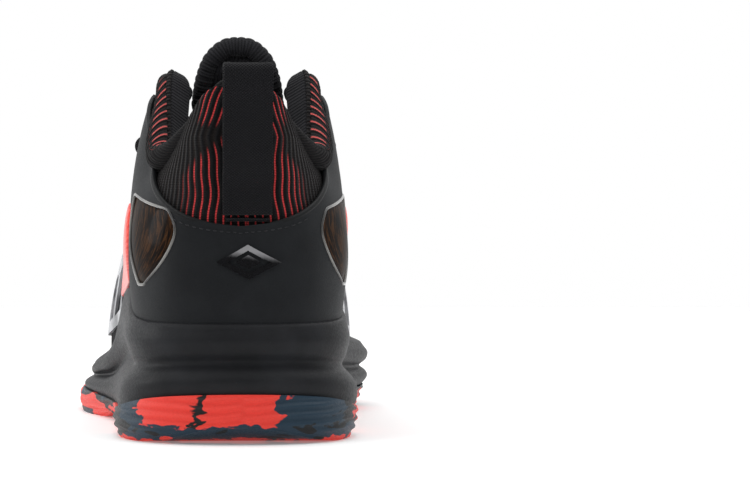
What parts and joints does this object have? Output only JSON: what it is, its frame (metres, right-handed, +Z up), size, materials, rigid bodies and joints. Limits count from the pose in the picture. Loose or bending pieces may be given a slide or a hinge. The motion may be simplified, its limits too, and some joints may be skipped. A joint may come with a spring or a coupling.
{
  "type": "basketball high top",
  "caption": "Left high-top basketball shoe with knit collar, moulded heel shell with side windows, pull tab, laced throat, padded tongue and cupped rubber outsole.",
  "frame": {"origin": "on the ground plane, under the middle of the bounding box", "axes": "+Y towards the toe, +Z up, +X towards the medial (inner) side"},
  "size_m": [0.1176, 0.3072, 0.1504],
  "materials": {
    "outsole_rubber": "matte",
    "midsole_foam": "satin",
    "cushion_foam": "matte",
    "shank_composite": "gloss",
    "board_fibre": "matte",
    "sockliner_foam": "matte",
    "collar_knit": "matte",
    "mesh_black": "matte",
    "shell_matte": "matte",
    "window_tinted": "gloss",
    "coral_gloss": "gloss",
    "emblem_gloss": "gloss",
    "toe_cap_fused": "matte",
    "strut_grey": "satin",
    "eyestay_synthetic": "satin",
    "webbing_black": "matte",
    "eyelet_metal": "satin",
    "cord_black": "matte",
    "aglet_plastic": "gloss",
    "tongue_fabric": "matte",
    "ribbed_roll": "matte",
    "stiffener_plastic": "matte",
    "lining_textile": "matte"
  },
  "bodies": {
    "shoe": {"outsole": "outsole_rubber", "midsole": "midsole_foam", "heel_cushion_pod": "cushion_foam", "forefoot_cushion_pod": "cushion_foam", "shank_plate": "shank_composite", "strobel_board": "board_fibre", "collar_knit": "collar_knit", "quarter_lateral": "mesh_black", "quarter_medial": "mesh_black", "vamp": "mesh_black", "heel_counter_shell": "shell_matte", "window_lateral": "window_tinted", "window_medial": "window_tinted", "side_panel_lateral": "coral_gloss", "side_panel_medial": "coral_gloss", "heel_emblem": "emblem_gloss", "toe_cap": "toe_cap_fused", "cage_lateral": "strut_grey", "cage_medial": "strut_grey", "eyestay_lateral": "eyestay_synthetic", "eyestay_medial": "eyestay_synthetic", "pull_tab_anchor": "webbing_black", "lace_loops_lateral": "webbing_black", "lace_loops_medial": "webbing_black", "top_eyelet_lateral": "eyelet_metal", "top_eyelet_medial": "eyelet_metal", "lace": "cord_black", "ankle_loop_lateral": "cord_black", "ankle_loop_medial": "cord_black", "lace_aglets": "aglet_plastic", "tongue_base": "tongue_fabric", "collar_binding": "ribbed_roll", "heel_stiffener": "stiffener_plastic", "toe_puff": "stiffener_plastic", "heel_lining": "lining_textile", "forefoot_lining": "lining_textile", "collar_padding": "lining_textile"},
    "tongue_top": {"tongue_pad": "tongue_fabric", "tongue_rim": "ribbed_roll"},
    "pull_loop": {"pull_tab": "webbing_black"},
    "insole": {"sockliner": "sockliner_foam"}
  },
  "joints": [
    {"name": "tongue_fold", "type": "hinge", "parent": "shoe", "child": "tongue_top", "pos_m": [0.00419, -0.03313, 0.11888], "axis": [-1, 0, 0], "range_deg": [0, 35]},
    {"name": "pull_tab_swing", "type": "hinge", "parent": "shoe", "child": "pull_loop", "pos_m": [0.00667, -0.14369, 0.0836], "axis": [0.9986, 0.0523, 0], "range_deg": [0, 60]},
    {"name": "sockliner_lift", "type": "hinge", "parent": "shoe", "child": "insole", "pos_m": [0.00919, 0.14017, 0.0265], "axis": [-1, 0, 0], "range_deg": [0, 8]}
  ]
}
